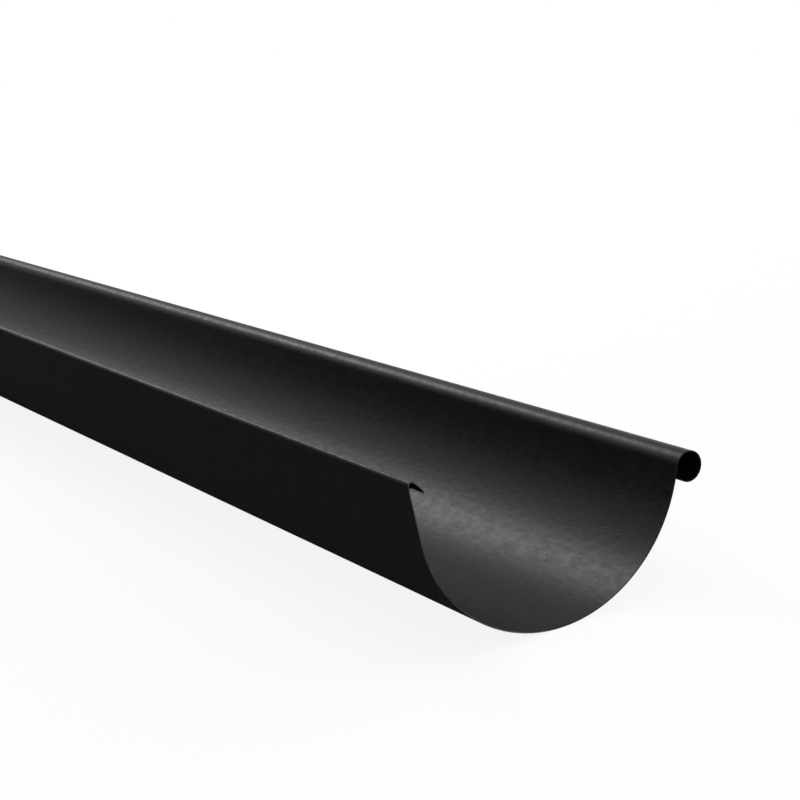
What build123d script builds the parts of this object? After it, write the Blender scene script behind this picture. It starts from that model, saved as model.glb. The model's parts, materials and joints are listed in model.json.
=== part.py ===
from build123d import *

# Half-round hanging gutter, one length of coated sheet steel with both edges rolled.
#
# The gutter is one strip of sheet, bent to one section along its whole length. From front to back the
# strip runs through a round bead, a short front wall, the round trough, a tighter back round, a flared
# back wall and a flat hollow fold that turns in over the trough and comes back to the wall. Both faces
# of the sheet are drawn from the same bends, and the section between them is extruded.
#
# Sizes are in millimetres and angles in degrees. X points from the back edge to the bead, Y runs along
# the gutter and Z is up. The gutter lies on a level floor as it does by itself: the bead is heavier than
# the fold, so the round rolls until the middle of its weight is straight above the line it lies on. The
# origin is on the floor, in the middle of the length and of the width.

import os
from math import atan2, cos, degrees, radians, sin

# Stock
length = 2000
sheet = 0.6

# Round trough, measured to the outside face, with its angles counted from the lowest point
trough_radius = 75
trough_to_front = 82
trough_to_back = 50

# Front wall, straight on from the round
front_wall = 4.5

# Front bead, rolled outwards until its lip points back at the front wall
bead_diameter = 15.5
bead_lip_rise = 21
bead_gap = 0.4

# Back wall, with a tighter round below it and a flare away from the trough
back_radius = 61
back_flare = 14.3
back_wall = 28.1

# Back fold, bent in over the trough and down, then returned to the back wall
fold_bend_radius = 2
fold_top_slope = 30
fold_tip_slope = 52
fold_top_radius = 20
fold_tip_radius = 0.8
fold_return_slope = 26
fold_gap = 0.3

# Turn of the sheet through each bend
down = -90
half_turn = 180
bead_turn = trough_to_front + half_turn + bead_lip_rise
back_turn = -down - back_flare - trough_to_back
fold_bend_turn = -down + back_flare + fold_top_slope
fold_top_turn = fold_tip_slope - fold_top_slope
fold_tip_turn = half_turn - fold_tip_slope + fold_return_slope


def draw_face(depth):
    """Draw one face of the sheet, this deep below its outside face, apart from its two free ends.

    Every bend towards the trough loses the depth from its radius, and the bead, which bends away from
    it, gains it, so that both faces share the centre and the turn of each bend.
    """
    trough = CenterArc((0, 0), trough_radius - depth, down - trough_to_back, trough_to_back + trough_to_front)

    front = PolarLine(trough @ 1, front_wall, direction=trough % 1)
    bead = JernArc(front @ 1, front % 1, bead_diameter / 2 - sheet + depth, -bead_turn)

    back = JernArc(trough @ 0, -(trough % 0), back_radius - depth, -back_turn)
    wall = PolarLine(back @ 1, back_wall, direction=back % 1)

    bend = JernArc(wall @ 1, wall % 1, fold_bend_radius - depth, -fold_bend_turn)
    top = JernArc(bend @ 1, bend % 1, fold_top_radius - depth, -fold_top_turn)
    tip = JernArc(top @ 1, top % 1, fold_tip_radius - depth, -fold_tip_turn)
    return bead, wall, tip


# Section of the sheet, drawn level with the middle of the round at zero
with BuildSketch() as section:
    with BuildLine():
        outer_bead, outer_wall, outer_tip = draw_face(0)
        inner_bead, inner_wall, inner_tip = draw_face(sheet)

        # Lip of the bead, square at its free edge, which stops short of the round and the front wall
        with BuildLine(mode=Mode.PRIVATE) as front_side:
            clear_round = CenterArc((0, 0), trough_radius + bead_gap, down, trough_to_front)
            PolarLine(clear_round @ 1, front_wall, direction=clear_round % 1)
        outer_lip = PolarLine(outer_bead @ 1, front_side.line, direction=outer_bead % 1)
        inner_lip = PolarLine(inner_bead @ 1, outer_lip.length, direction=inner_bead % 1)
        Line(outer_lip @ 1, inner_lip @ 1)

        # Return of the fold, square at its free edge, which stops short of the back wall
        inwards = Vector(cos(radians(back_flare)), sin(radians(back_flare)))
        wall_side = Axis(inner_wall @ 1 + inwards * fold_gap, inner_wall % 1)
        outer_return = PolarLine(outer_tip @ 1, wall_side, direction=outer_tip % 1)
        inner_return = PolarLine(inner_tip @ 1, outer_return.length, direction=inner_tip % 1)
        Line(outer_return @ 1, inner_return @ 1)
    make_face()

# Roll that brings the middle of the section's weight straight below the middle of the round
weight = section.face().center(CenterOf.MASS)
roll = degrees(atan2(weight.X, -weight.Y))
rolled = section.sketch.rotate(Axis.Z, -roll).bounding_box()
print(f"the section's weight is at {weight.X:.2f}, {weight.Y:.2f} mm, so it lies rolled {roll:.2f} degrees")
print(f"lying so, it is {rolled.size.X:.2f} mm wide and {rolled.size.Y:.2f} mm high")
print(f"the middle of the round is at x {-rolled.center().X:.3f} mm and z {-rolled.min.Y:.3f} mm")

# Upright plane across the gutter, turned by the roll and set down on the floor
lying = Plane(
    origin=(-rolled.center().X, 0, -rolled.min.Y),
    x_dir=(cos(radians(roll)), 0, -sin(radians(roll))),
    z_dir=(0, -1, 0),
)

with BuildPart() as gutter:
    with BuildSketch(lying):
        add(section.sketch)
    extrude(amount=length / 2, both=True)

os.makedirs("parts", exist_ok=True)
gutter.part.label = "gutter"
export_step(gutter.part, "parts/gutter.step")
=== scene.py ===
# %% [markdown]
# # A half-round gutter in black coated steel
#
# The object is one length of gutter: a strip of sheet steel, coated black on both sides and bent by
# rollers to a half-round trough. Its front edge is curled outwards into a bead, which stiffens it and
# hangs in the bracket, and its back edge is folded in over the trough, so that water can't creep behind.
#
# The imported model is loaded first and is a fixed frame: nothing here moves or resizes it. The box that it
# fills is kept, and the finished surface is trimmed to it.

# %% The frame
import json
from math import acos, ceil, cos, pi, radians, sin, sqrt

import bpy
import numpy as np
from mathutils import Matrix, Vector


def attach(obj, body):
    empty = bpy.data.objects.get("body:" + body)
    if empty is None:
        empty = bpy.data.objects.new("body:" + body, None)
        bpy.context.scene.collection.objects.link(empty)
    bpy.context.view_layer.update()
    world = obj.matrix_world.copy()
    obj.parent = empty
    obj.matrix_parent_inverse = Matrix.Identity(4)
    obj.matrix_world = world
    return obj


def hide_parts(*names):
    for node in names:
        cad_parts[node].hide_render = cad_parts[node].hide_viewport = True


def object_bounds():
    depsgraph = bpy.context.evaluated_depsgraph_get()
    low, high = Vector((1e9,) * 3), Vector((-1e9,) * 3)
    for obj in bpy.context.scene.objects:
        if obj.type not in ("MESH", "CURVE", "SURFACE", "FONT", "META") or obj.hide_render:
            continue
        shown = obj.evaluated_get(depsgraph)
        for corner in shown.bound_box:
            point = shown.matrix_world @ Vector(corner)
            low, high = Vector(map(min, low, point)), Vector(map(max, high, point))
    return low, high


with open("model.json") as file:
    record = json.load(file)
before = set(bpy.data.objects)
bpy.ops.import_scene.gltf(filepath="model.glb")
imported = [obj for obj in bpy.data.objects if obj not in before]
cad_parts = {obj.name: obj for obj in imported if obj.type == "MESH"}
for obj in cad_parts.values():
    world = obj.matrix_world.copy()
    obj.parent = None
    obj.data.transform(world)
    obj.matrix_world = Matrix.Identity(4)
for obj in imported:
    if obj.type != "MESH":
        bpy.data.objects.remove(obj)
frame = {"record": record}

cad_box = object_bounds()
mounts = {mount["name"]: mount for mount in frame["record"]["mounts"]}
print("CAD box", [[round(v, 4) for v in corner] for corner in cad_box])

# %% [markdown]
# ## The section as a walk along the strip
#
# Real gutter is sheet that has been bent, so the section is written as a bender would give it: how far
# the strip runs straight, then how far it turns and on what radius. The heading of the sheet changes
# evenly inside a bend, so the walk is exact wherever it is sampled. The other way would be to type in
# the outline's points, which says nothing about how the shape is made and shows facets on close views.
#
# The walk starts at the free edge of the back fold and ends at the free edge of the front bead. Turns to
# the left bend the sheet round the trough, and the bead turns to the right. Radii are those of the face
# that lies outside on the trough, lengths are in metres and angles in degrees.

# %% Sizes of the section
mm = 0.001
sheet = 0.6 * mm
trough_radius = mounts["bracket_seat"]["dims"]["r_mm"] * mm
bead_radius = mounts["front_bead"]["dims"]["r_mm"] * mm

trough_to_front = 82
trough_to_back = 50
front_wall = 4.5 * mm
bead_lip_rise = 21
bead_gap = 0.4 * mm

back_radius = 61 * mm
back_flare = 14.3
back_wall = 28.1 * mm

fold_bend_radius = 2 * mm
fold_top_slope = 30
fold_tip_slope = 52
fold_top_radius = 20 * mm
fold_tip_radius = 0.8 * mm
fold_return_slope = 26
fold_gap = 0.3 * mm
print("trough radius", trough_radius, "bead radius", bead_radius)

# %% [markdown]
# A round has to be cut into straight steps somewhere. Here each bend chooses its own number of steps, so
# that no facet lies deeper under the true curve than one small depth. The wide trough then gets small
# angles and the tight tip of the fold larger ones, and both look equally round.

# %% Walking along the strip
facet_depth = 0.008 * mm


def unit(angle):
    """Unit vector at an angle in radians."""
    return np.array([cos(angle), sin(angle)])


def bend(radius, turn):
    """A stretch of constant curvature: equal steps of heading, each as long as radius times turn.

    A chord over an angle lies radius times (1 - cos(angle / 2)) under its arc, which gives the angle.
    """
    step = 2 * acos(1 - facet_depth / radius)
    count = ceil(radians(abs(turn)) / step)
    turns = np.full(count, radians(turn) / count)
    return turns, np.abs(turns) * radius


def straight(length, count):
    """A stretch with no turn, in equal steps."""
    return np.zeros(count), np.full(count, length / count)


def walk(stretches, heading):
    """Points, headings and distance along a strip that starts at zero with this heading in degrees.

    Over a step the heading turns evenly, so the chord points along the mean heading and is the step's
    length times sin(h) / h, where h is half the step's turn. The points are the running sum of chords.
    """
    turns = np.concatenate([stretch[0] for stretch in stretches.values()])
    steps = np.concatenate([stretch[1] for stretch in stretches.values()])
    headings = radians(heading) + np.concatenate([[0], np.cumsum(turns)])
    middle = (headings[1:] + headings[:-1]) / 2
    chords = steps * np.sinc(turns / (2 * pi))
    moves = chords[:, None] * np.stack([np.cos(middle), np.sin(middle)], axis=1)
    points = np.concatenate([[[0, 0]], np.cumsum(moves, axis=0)])
    return points, headings, np.concatenate([[0], np.cumsum(steps)])


# %% The bends from fold to bead
bends = {
    "fold_tip": bend(fold_tip_radius, 180 - fold_tip_slope + fold_return_slope),
    "fold_top": bend(fold_top_radius, fold_tip_slope - fold_top_slope),
    "fold_bend": bend(fold_bend_radius, 90 + back_flare + fold_top_slope),
    "back_wall": straight(back_wall, count=8),
    "back_round": bend(back_radius, 90 - back_flare - trough_to_back),
    "trough": bend(trough_radius, trough_to_back + trough_to_front),
    "front_wall": straight(front_wall, count=2),
    "bead": bend(bead_radius - sheet, -(trough_to_front + 180 + bead_lip_rise)),
}
print("steps", {name: len(stretch[0]) for name, stretch in bends.items()})


def first_step(name, stretches):
    """Number of the first step of a stretch, which is the number of steps before it."""
    names = list(stretches)
    return sum(len(stretches[earlier][0]) for earlier in names[: names.index(name)])


def placed_walk(stretches):
    """The walk, moved so that the middle of the round is at zero: its trough starts on the round."""
    points, headings, along = walk(stretches, -fold_return_slope)
    round_start = trough_radius * unit(radians(-90 - trough_to_back))
    return points + round_start - points[first_step("trough", stretches)], headings, along


# %% [markdown]
# The two free edges stop just short of the sheet that they are folded back against. Their lengths are
# worked out from a first walk without them, as the distance to that sheet along the free edge's heading.


# %% Lengths of the two free edges
def to_circle(point, direction, radius):
    """Distance along a direction to the circle of this radius round zero, from outside it."""
    along = point @ direction
    return -along - sqrt(along**2 - point @ point + radius**2)


def to_line(point, direction, on_line, line_direction):
    """Distance along a direction to a line: the share of it that closes the gap across the line."""
    across = np.array([-line_direction[1], line_direction[0]])
    return ((on_line - point) @ across) / (direction @ across)


points, headings, _ = placed_walk(bends)
wall_start = first_step("back_wall", bends)
wall_inside = points[wall_start] + (sheet + fold_gap) * unit(headings[wall_start] + pi / 2)
return_length = to_line(points[0], -unit(headings[0]), wall_inside, unit(headings[wall_start]))
lip_length = to_circle(points[-1], unit(headings[-1]), trough_radius + bead_gap)
print("return", round(return_length / mm, 3), "mm, lip", round(lip_length / mm, 3), "mm")

strip = {"fold_return": straight(return_length, count=3), **bends, "lip": straight(lip_length, count=3)}
outside, headings, along_strip = placed_walk(strip)
normals = np.stack([-np.sin(headings), np.cos(headings)], axis=1)
print("strip", len(outside), "points,", round(along_strip[-1] / mm, 1), "mm over its outside face")

# %% [markdown]
# ## Lying on the floor
#
# A gutter hangs level in its brackets, and the photo's viewpoint shows it so. Unheld on a floor it rolls
# towards the heavier bead until the middle of its weight is below the middle of the round. The section is
# the same all along, so the roll comes from the strip alone: each step of sheet pulls with its length,
# taken half way through the sheet.

# %% The roll
middle_line = outside + normals * sheet / 2
middle_steps = (np.diff(along_strip) - np.diff(headings) * sheet / 2)[:, None]
weight = ((middle_line[1:] + middle_line[:-1]) / 2 * middle_steps).sum(axis=0) / middle_steps.sum()
roll = np.arctan2(weight[0], -weight[1])
axis_point = Vector(mounts["bracket_seat"]["pos_m"]) + Vector((0, 0, trough_radius))
near_end = mounts["near_end"]["pos_m"][1]
far_end = mounts["far_end"]["pos_m"][1]
print("flat strip", round(middle_steps.sum() / mm, 1), "mm wide before bending")
print("roll", round(np.degrees(roll), 2), "degrees, axis at", [round(v, 5) for v in axis_point])

# %% [markdown]
# ## The sheet as a surface of two parameters
#
# One parameter runs round the section, over the outside face and back over the inside face, and the other
# runs along the length. A solid with a bevel on its ends would give the same shape, but a grid that is
# worked out keeps every point in order, so finishes and marks can follow the strip. An extra ring at each
# end stands back from both faces a little: that is the fine chamfer which deburring leaves on a sawn
# edge, and it catches a thin line of light.
#
# Rollers never leave sheet dead straight. Long shallow waves, up to two hundredths of a millimetre high,
# are added across the sheet's face. They are far too small to see as shape, but they make the reflections
# on the bead and in the trough waver as they do on the real thing.

# %% Rollers' waves
ripple_height = 0.02 * mm
end_fade = 20 * mm
edge_fade = 6 * mm

# Each wave: share of the height, length along the gutter and width across the strip in metres, phase
waves = [
    (0.5, 0.310, 0.09, 0.4),
    (0.3, 0.173, 0.05, 2.1),
    (0.2, 0.097, 0.20, 4.4),
]


def ripple(across, along):
    """Height of the rollers' waves: a sum of sines of distance across and along the sheet.

    They fade out at both ends and at both free edges, so the sheet keeps its true size there.
    """
    height = np.zeros(np.broadcast(across, along).shape)
    for share, length, width, phase in waves:
        height += share * np.sin(2 * pi * (along / length + across / width) + phase)
    ends = np.minimum(along - near_end, far_end - along) / end_fade
    edges = np.minimum(across, across.max() - across) / edge_fade
    return ripple_height * height * np.clip(ends, 0, 1) * np.clip(edges, 0, 1)


# %% The grid
chamfer = 0.07 * mm
ring_gap = 14 * mm


def lengthwise_rings():
    """Places of the rings along the gutter and how far each pulls the faces in at its chamfer."""
    count = round((far_end - near_end) / ring_gap)
    inner = np.linspace(near_end + chamfer, far_end - chamfer, count)
    return np.r_[near_end, inner, far_end], np.r_[chamfer, np.zeros(count), chamfer]


def sheet_points():
    """Points of the whole sheet, as rings of the outside face and then the inside face backwards.

    A point is the outside line, plus the depth in the sheet and the ripple along its normal, turned by
    the roll about the gutter's axis and set on that axis.
    """
    ring_y, pull = lengthwise_rings()
    lift = ripple(along_strip[None, :], ring_y[:, None])
    low = outside[None] + normals[None] * (lift + pull[:, None])[..., None]
    high = outside[None] + normals[None] * (sheet + lift - pull[:, None])[..., None]
    section = np.concatenate([low, high[:, ::-1]], axis=1)
    x = section[..., 0] * cos(roll) + section[..., 1] * sin(roll) + axis_point.x
    z = section[..., 1] * cos(roll) - section[..., 0] * sin(roll) + axis_point.z
    y = np.broadcast_to(ring_y[:, None], x.shape)
    return np.stack([x, y, z], axis=-1)


# The waves may lift a point past the CAD box by a hundredth of a millimetre, so the box trims them
grid = np.clip(sheet_points(), *np.array(cad_box))
rings, around = grid.shape[:2]
half = around // 2
print("grid", rings, "rings of", around, "points")

# %% [markdown]
# The grid's neighbours are joined to quads. Because the rings go round both faces and both free edges,
# only the two sawn ends are left open, and each is closed by a strip of quads between the two faces. The
# signed volume says whether the quads face outwards, and turns them all round if they don't.


# %% Faces of the grid
def sheet_faces():
    """Quads between neighbouring rings, and at each end a strip of quads between the two faces."""
    index = np.arange(rings * around).reshape(rings, around)
    turned = np.roll(index, -1, axis=1)
    sides = np.stack([index[:-1], turned[:-1], turned[1:], index[1:]], axis=-1).reshape(-1, 4)
    low, high = index[:, :half], index[:, half:][:, ::-1]
    near = np.stack([low[0, :-1], high[0, :-1], high[0, 1:], low[0, 1:]], axis=-1)
    far = np.stack([low[-1, :-1], low[-1, 1:], high[-1, 1:], high[-1, :-1]], axis=-1)
    return np.concatenate([sides, near, far]), len(sides)


def enclosed_volume(points, quads):
    """Volume inside closed quads, positive when they face outwards.

    Each quad is two triangles, and a triangle with the origin spans a sixth of its triple product.
    """
    corners = points[quads]
    first = np.einsum("ij,ij->i", corners[:, 0], np.cross(corners[:, 1], corners[:, 2]))
    second = np.einsum("ij,ij->i", corners[:, 0], np.cross(corners[:, 2], corners[:, 3]))
    return (first + second).sum() / 6


faces, side_count = sheet_faces()
sheet_vertices = grid.reshape(-1, 3)
if enclosed_volume(sheet_vertices, faces) < 0:
    faces = faces[:, ::-1]
print("steel", round(enclosed_volume(sheet_vertices, faces) * 1e6, 2), "cm3,", 2 * len(faces), "triangles")

# %% [markdown]
# ## Which face is which
#
# The coat isn't the same all over. The face that looks into the trough and runs on over the bead is a
# satin top coat, and so is the top of the fold, where the rollers have pressed hardest and burnished it.
# The outside of the back wall and of the round keeps the flat finish of a backing coat. The bore of the
# bead has a darker, duller copy of that coat, nearly black, which is painted shade. The two sawn ends show
# the edge of the sheet, with painted light and shade along it.
#
# These could be five objects, but the sheet is one piece. A material index for each quad, chosen by its
# place along the strip, keeps the finishes apart without splitting it. The place along the strip is also
# stored on the points, as an attribute that a material can read.

# %% Finishes by place along the strip
satin_face, flat_face, bore_face, sawn_face = range(4)
flat_from = 157


def finish_of_faces():
    """Material index of each quad.

    The flat coat starts on the fold's bend, where the outward normal has turned to a given angle, which
    is the heading less 90 degrees. From the bead on, the same side of the sheet is the bore.
    """
    flat_start = np.argmax(headings >= radians(90 + flat_from))
    bore_start = first_step("bead", strip)
    ring = np.full(around, satin_face)
    ring[flat_start:bore_start] = flat_face
    ring[bore_start:half] = bore_face
    return np.concatenate([np.tile(ring, rings - 1), np.full(len(faces) - side_count, sawn_face)])


def share_of_strip():
    """Share of the strip's width at each point, from 0 at the fold's free edge to 1 at the bead's."""
    share = along_strip / along_strip[-1]
    return np.tile(np.r_[share, share[::-1]], rings)


# %% The mesh
mesh = bpy.data.meshes.new("gutter_sheet")
mesh.from_pydata(sheet_vertices, [], faces)
mesh.polygons.foreach_set("material_index", finish_of_faces().astype(np.int32))
mesh.polygons.foreach_set("use_smooth", np.ones(len(faces), bool))
place_on_strip = mesh.attributes.new("place_on_strip", "FLOAT", "POINT")
place_on_strip.data.foreach_set("value", share_of_strip().astype(np.float32))
mesh.update()

# Faces that meet at more than this angle keep a crisp edge between them
crisp_angle = 30
mesh.set_sharp_from_angle(angle=radians(crisp_angle))
gutter = bpy.data.objects.new("gutter_sheet", mesh)
bpy.context.collection.objects.link(gutter)
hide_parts("gutter")
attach(gutter, "root")
print("gutter_sheet", len(mesh.vertices), "points")

# %% [markdown]
# ## The black coat
#
# Black coating for gutters is baked on the coil before the sheet is bent. Close up it has a soft grain of
# a few millimetres, a little longer in the rolling direction, and a nib here and there where a speck was
# baked in. Wider clouds show where the coat lay a little thicker, and faint streaks run the rolling way.
#
# A photographed texture would show all that from one side, with its light baked in, and would need a map
# over the bent sheet. Here it is noise in the shader. Grain and nibs are heights in metres that tilt the
# surface, grain, clouds and streaks change the roughness, and clouds change the colour. They all read the
# object's own coordinates, so they stay put on the steel when the view moves.


# %% Small helpers for shader nodes
def node(tree, kind, **settings):
    """Adds a shader node and sets its properties."""
    made = tree.nodes.new(kind)
    for name, value in settings.items():
        setattr(made, name, value)
    return made


def sums(tree, operation, first, second):
    """Sum, product or larger of a value and a second one, which may be a plain number."""
    made = node(tree, "ShaderNodeMath", operation=operation)
    tree.links.new(first, made.inputs[0])
    if isinstance(second, float):
        made.inputs[1].default_value = second
    else:
        tree.links.new(second, made.inputs[1])
    return made.outputs["Value"]


def ranged(tree, value, low, high, start=0.25, end=0.75):
    """Maps start to end on to low to high in a straight line, and stops there. Noise uses its middle."""
    mapped = node(tree, "ShaderNodeMapRange")
    tree.links.new(value, mapped.inputs["Value"])
    for name, number in [("From Min", start), ("From Max", end), ("To Min", low), ("To Max", high)]:
        mapped.inputs[name].default_value = number
    return mapped.outputs["Result"]


def noise(tree, place, scale, lengthwise=1.0, detail=2.0):
    """Noise from 0 to 1 with this many cells a metre, and this share of them along the gutter."""
    mapping = node(tree, "ShaderNodeMapping")
    mapping.inputs["Scale"].default_value = (1.0, lengthwise, 1.0)
    tree.links.new(place, mapping.inputs["Vector"])
    texture = node(tree, "ShaderNodeTexNoise", noise_dimensions="3D")
    texture.inputs["Scale"].default_value = scale
    texture.inputs["Detail"].default_value = detail
    tree.links.new(mapping.outputs["Vector"], texture.inputs["Vector"])
    return texture.outputs["Fac"]


def nibs(tree, place, scale, radius):
    """Sparse round nibs, 1 at their middle and 0 at this radius: one minus distance over radius.

    The distance is to the nearest of scattered points in space, so few of them lie near the sheet.
    """
    cells = node(tree, "ShaderNodeTexVoronoi", feature="F1")
    cells.inputs["Scale"].default_value = scale
    tree.links.new(place, cells.inputs["Vector"])
    return ranged(tree, cells.outputs["Distance"], 1.0, 0.0, 0.0, radius * scale)


# %% A coat
grain_scale, grain_length = 300, 0.55
cloud_scale = 90
streak_scale, streak_length = 420, 0.012
nib_scale, nib_radius = 170, 0.8 * mm
grain_rough, cloud_rough, streak_rough = 0.05, 0.02, 0.015
cloud_lift = 1.4


def coat(name, grey, roughness, gloss, grain_depth, nib_height=0.0, sheen=0.0):
    """A black coat: its colour and roughness vary with clouds, grain and streaks, and grain tilts it."""
    material = bpy.data.materials.new(name)
    material.use_nodes = True
    tree = material.node_tree
    shader = tree.nodes["Principled BSDF"]
    shader.inputs["Specular IOR Level"].default_value = gloss
    shader.inputs["Sheen Weight"].default_value = sheen
    place = node(tree, "ShaderNodeTexCoord").outputs["Object"]

    grain = noise(tree, place, grain_scale, grain_length)
    clouds = noise(tree, place, cloud_scale, detail=3.0)
    streaks = noise(tree, place, streak_scale, streak_length)

    colour = node(tree, "ShaderNodeMix", data_type="RGBA")
    colour.inputs["A"].default_value = (grey, grey, grey, 1)
    colour.inputs["B"].default_value = (grey * cloud_lift, grey * cloud_lift, grey * cloud_lift, 1)
    tree.links.new(ranged(tree, clouds, 0, 1), colour.inputs["Factor"])
    tree.links.new(colour.outputs["Result"], shader.inputs["Base Color"])

    rough = ranged(tree, clouds, roughness - cloud_rough, roughness + cloud_rough)
    rough = sums(tree, "ADD", rough, ranged(tree, grain, -grain_rough, grain_rough))
    rough = sums(tree, "ADD", rough, ranged(tree, streaks, -streak_rough, streak_rough))
    tree.links.new(rough, shader.inputs["Roughness"])

    grain_relief = sums(tree, "MULTIPLY", grain, grain_depth)
    nib_relief = sums(tree, "MULTIPLY", nibs(tree, place, nib_scale, nib_radius), nib_height)
    bump = node(tree, "ShaderNodeBump")
    bump.inputs["Strength"].default_value = 1.0
    bump.inputs["Distance"].default_value = 1.0
    tree.links.new(sums(tree, "ADD", grain_relief, nib_relief), bump.inputs["Height"])
    tree.links.new(bump.outputs["Normal"], shader.inputs["Normal"])
    return material


# %% [markdown]
# The three coats differ in a few numbers. The top coat is the darkest in its body and the glossiest, so
# nearly all that it shows is a soft reflection, as on black lacquer. The backing coat has no shine, only a
# chalky sheen at a grazing angle. The bore has neither, and its darker grey is painted shade.

# %% Top coat, backing coat and bore
satin = coat(
    "satin_top_coat",
    grey=0.003,
    roughness=0.40,
    gloss=0.5,
    grain_depth=0.12 * mm,
    nib_height=0.10 * mm,
)
flat = coat("flat_backing_coat", grey=0.022, roughness=0.55, gloss=0.0, grain_depth=0.03 * mm, sheen=0.07)
# The bore is the backing coat made darker and without sheen: painted shade for the deep inside of the bead
bore = coat("bead_bore_painted_shade", grey=0.010, roughness=0.55, gloss=0.0, grain_depth=0.03 * mm)
print("coats", satin.name, flat.name, bore.name)

# %% [markdown]
# ## The sawn edge
#
# The sawn end is bare steel, finely scratched by the saw. Its grey along the strip is painted highlight and
# shade: painted light on the fold's free edge, at the top of the back wall and low in the round, darker on
# the fold's bend, and painted shade, nearly black, from the front of the round up to the bead. The change
# follows the strip, so the painted light and shade are read from the place along it through a ramp of
# greys. Painting it by the object's X would smear it down the upright back wall.

# %% Sawn edge
# Pairs of a place along the strip, from fold to bead, and the grey of the edge there, which is painted
# highlight and shade
edge_painted_light_greys = [
    (0.00, 0.45),
    (0.05, 0.32),
    (0.066, 0.10),
    (0.076, 0.12),
    (0.086, 0.36),
    (0.18, 0.10),
    (0.28, 0.09),
    (0.34, 0.20),
    (0.42, 0.32),
    (0.52, 0.06),
    (0.65, 0.01),
]
edge_gloss, edge_rough = 0.1, 0.55
darkest_mark, palest_mark = 0.85, 1.15
saw_scale = 900
saw_depth = 0.006 * mm


def sawn_edge_painted_light():
    """Greys along the strip as painted highlight and shade, made lighter and darker by fine saw marks,
    which also tilt the surface.
    """
    material = bpy.data.materials.new("sawn_edge_painted_light")
    material.use_nodes = True
    tree = material.node_tree
    shader = tree.nodes["Principled BSDF"]
    shader.inputs["Specular IOR Level"].default_value = edge_gloss
    shader.inputs["Roughness"].default_value = edge_rough

    # The ramp paints highlight and shade on the edge by its place along the strip
    ramp = node(tree, "ShaderNodeValToRGB")
    where = node(tree, "ShaderNodeAttribute", attribute_name="place_on_strip")
    tree.links.new(where.outputs["Fac"], ramp.inputs["Fac"])
    stops = ramp.color_ramp.elements
    stops.remove(stops[1])
    for place, grey in edge_painted_light_greys:
        stop = stops[0] if place == 0 else stops.new(place)
        stop.color = (grey, grey, grey, 1)

    marks = noise(tree, node(tree, "ShaderNodeTexCoord").outputs["Object"], saw_scale)
    tint = node(tree, "ShaderNodeHueSaturation")
    tree.links.new(ranged(tree, marks, darkest_mark, palest_mark), tint.inputs["Value"])
    tree.links.new(ramp.outputs["Color"], tint.inputs["Color"])
    tree.links.new(tint.outputs["Color"], shader.inputs["Base Color"])

    bump = node(tree, "ShaderNodeBump")
    bump.inputs["Distance"].default_value = saw_depth
    tree.links.new(marks, bump.inputs["Height"])
    tree.links.new(bump.outputs["Normal"], shader.inputs["Normal"])
    return material


for material in (satin, flat, bore, sawn_edge_painted_light()):
    mesh.materials.append(material)
print("materials", [material.name for material in mesh.materials])

# %% [markdown]
# ## Floor and surroundings
#
# The floor is pale and takes the gutter's shadow. It shows as white because a share of its light is given
# to the rays that come from the camera or from a glossy or clear surface, and the rest is real light on a
# pale surface, which the shadow takes away. A brighter lamp would whiten the floor too, but it would also
# wash out the black. The share grows with the distance from the gutter, so that the floor runs into a
# white horizon without an edge.

# %% Floor
floor_half = 30.0
floor_grey = 0.20
near_share = 0.88
near_distance = 0.5
far_distance = 1.8
length_share = 0.4

bpy.ops.mesh.primitive_plane_add(size=2 * floor_half, location=(0, 0, 0))
floor = bpy.context.object
floor.name = "floor"


def floor_distance(tree):
    """Distance from the gutter over the floor, with the length along the gutter counted less."""
    squeezed = node(tree, "ShaderNodeVectorMath", operation="MULTIPLY")
    squeezed.inputs[1].default_value = (1.0, length_share, 0.0)
    tree.links.new(node(tree, "ShaderNodeTexCoord").outputs["Object"], squeezed.inputs[0])
    distance = node(tree, "ShaderNodeVectorMath", operation="LENGTH")
    tree.links.new(squeezed.outputs["Vector"], distance.inputs[0])
    return distance.outputs["Value"]


def floor_material():
    """Diffuse grey, plus a white share for camera, glossy and clear rays that grows with distance."""
    material = bpy.data.materials.new("pale_floor")
    material.use_nodes = True
    tree = material.node_tree
    tree.nodes.clear()
    distance = floor_distance(tree)
    share = ranged(tree, distance, near_share, 1.0, near_distance, far_distance)
    grey = ranged(tree, distance, floor_grey, 0.0, near_distance, far_distance)

    rays = node(tree, "ShaderNodeLightPath").outputs
    seen = sums(tree, "MAXIMUM", rays["Is Camera Ray"], rays["Is Glossy Ray"])
    seen = sums(tree, "MAXIMUM", seen, rays["Is Transmission Ray"])

    diffuse = node(tree, "ShaderNodeBsdfDiffuse")
    tree.links.new(grey, diffuse.inputs["Color"])
    white = node(tree, "ShaderNodeEmission")
    tree.links.new(sums(tree, "MULTIPLY", seen, share), white.inputs["Strength"])
    both = node(tree, "ShaderNodeAddShader")
    tree.links.new(diffuse.outputs["BSDF"], both.inputs[0])
    tree.links.new(white.outputs["Emission"], both.inputs[1])
    output = node(tree, "ShaderNodeOutputMaterial")
    tree.links.new(both.outputs["Shader"], output.inputs["Surface"])
    return material


floor.data.materials.append(floor_material())
print("floor", 2 * floor_half, "m square")

# %% [markdown]
# Above a white horizon the room is dim, as a studio is beyond its lamps. A gutter is all curves, and every
# curve reflects some direction of the room, so the room's grey sets how black the unlit parts look. Beyond
# the bead the room grows pale, as it does towards a window, and the lowest part of the round, which is seen
# at a grazing angle, takes a soft gleam from there.
#
# A black card stands low behind the back edge, as photographers use one to draw a dark edge on a glossy
# thing. The front wall of the trough and the near side of the bead face it, and that gives the dark band
# below the bead's line of light. Here it is a dark patch of the world and no object, so it throws no shadow
# and hides nothing from the camera.

# %% World
horizon_height = 0.026
ceiling_height = 0.055
room_grey, card_grey = 0.39, 0.01
front_gain = 0.7

# Each change is a soft edge between two directions, sideways in X and upwards in Z
front_side = (0.5, 0.8)
card_side = (-0.38, -0.28)
card_top = (0.32, 0.39)

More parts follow.
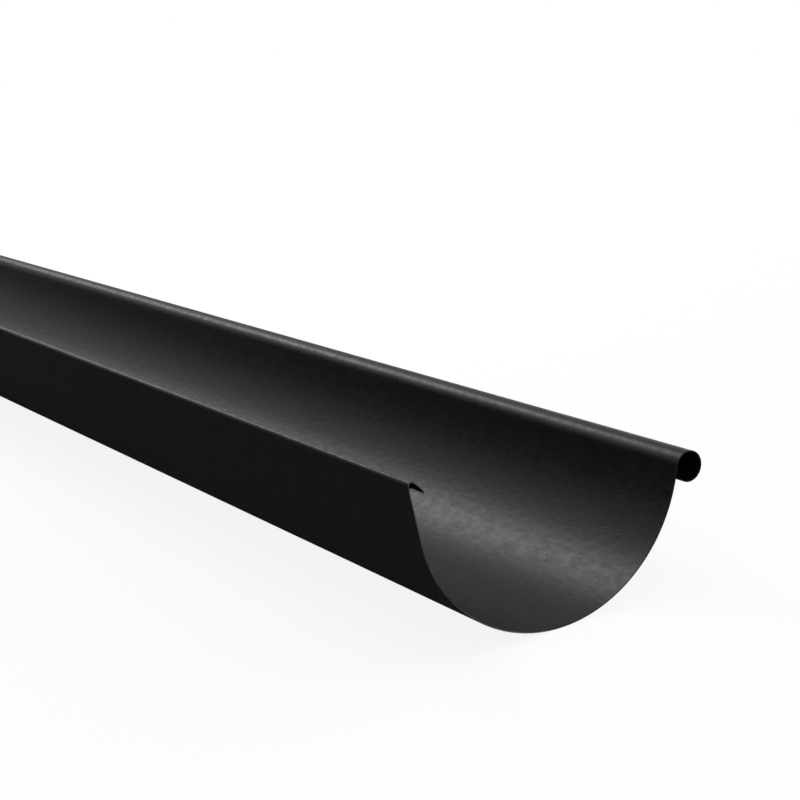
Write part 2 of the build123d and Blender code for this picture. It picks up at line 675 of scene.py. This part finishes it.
world = bpy.data.worlds.new("studio")
bpy.context.scene.world = world
world.use_nodes = True
sky = world.node_tree
direction = node(sky, "ShaderNodeSeparateXYZ")
sky.links.new(node(sky, "ShaderNodeTexCoord").outputs["Generated"], direction.inputs["Vector"])
behind = ranged(sky, direction.outputs["X"], 1.0, 0.0, *card_side)
below = ranged(sky, direction.outputs["Z"], 1.0, 0.0, *card_top)
room = ranged(sky, sums(sky, "MULTIPLY", behind, below), room_grey, card_grey, 0.0, 1.0)
front = ranged(sky, direction.outputs["X"], 0.0, front_gain, *front_side)
room = sums(sky, "ADD", room, front)
height = ranged(sky, direction.outputs["Z"], 0.0, 1.0, horizon_height, ceiling_height)
blend = node(sky, "ShaderNodeMix", data_type="FLOAT")
blend.inputs["A"].default_value = 1.0
sky.links.new(height, blend.inputs["Factor"])
sky.links.new(room, blend.inputs["B"])
sky.links.new(blend.outputs["Result"], sky.nodes["Background"].inputs["Color"])
print("white horizon below", horizon_height, "and room above", ceiling_height)

# %% [markdown]
# ## Light
#
# One long soft box hangs over the gutter, parallel to it. On a half-round trough a light shows where the
# sheet faces half way between the light and the viewer, so a long light above becomes a long soft band on
# the front half of the trough and a narrow one on the bead. The viewer stands off the near end, so the box
# starts past the gutter's middle and reaches well beyond its far end. A small lamp would give a spot in
# place of the band, and a sky alone would give no band at all.

# %% Soft box
box_height = 1.5
box_width = 0.63
box_length = 3.3
box_middle = 1.85
box_power = 22.4
box_lean = -1.5


def soft_box(name, height, lean, width, length, middle, power):
    """An area light over the gutter's axis, this many degrees from plumb towards the bead, facing it."""
    data = bpy.data.lights.new(name, "AREA")
    data.shape = "RECTANGLE"
    data.size = width
    data.size_y = length
    data.energy = power
    lamp = bpy.data.objects.new(name, data)
    lamp.matrix_world = (
        Matrix.Translation((axis_point.x, middle, axis_point.z))
        @ Matrix.Rotation(radians(lean), 4, "Y")
        @ Matrix.Translation((0, 0, height))
    )
    lamp.visible_camera = False
    bpy.context.collection.objects.link(lamp)


soft_box("overhead_soft_box", box_height, box_lean, box_width, box_length, box_middle, box_power)
print("soft box", box_width, "by", box_length, "m")

# %% [markdown]
# ## Camera
#
# The camera's place is measured from the middle of the round at the near end, with the gutter level as it
# hangs. The gutter lies rolled, so the camera is carried round the gutter's axis by the same angle, and
# the picture of the gutter is the same as if it hung level.

# %% Camera
lens = 81.0
sensor = 36.0
farthest_view = 100.0
camera_place = (-0.47822, -0.63919, 0.19024)
camera_heading = 31.869
camera_pitch = -11.126

camera_data = bpy.data.cameras.new("camera")
camera_data.lens = lens
camera_data.sensor_width = sensor
camera_data.clip_end = farthest_view
camera = bpy.data.objects.new("camera", camera_data)
bpy.context.collection.objects.link(camera)
camera.matrix_world = (
    Matrix.Translation((axis_point.x, near_end, axis_point.z))
    @ Matrix.Rotation(roll, 4, "Y")
    @ Matrix.Translation(camera_place)
    @ Matrix.Rotation(radians(-camera_heading), 4, "Z")
    @ Matrix.Rotation(radians(90 + camera_pitch), 4, "X")
)
bpy.context.scene.camera = camera
print("camera at", [round(v, 3) for v in camera.matrix_world.translation])

# %% [markdown]
# ## Closing
#
# The picture is shown with the plain view transform, so a colour looks as it is written.

# %% View
bpy.context.scene.view_settings.view_transform = "Standard"
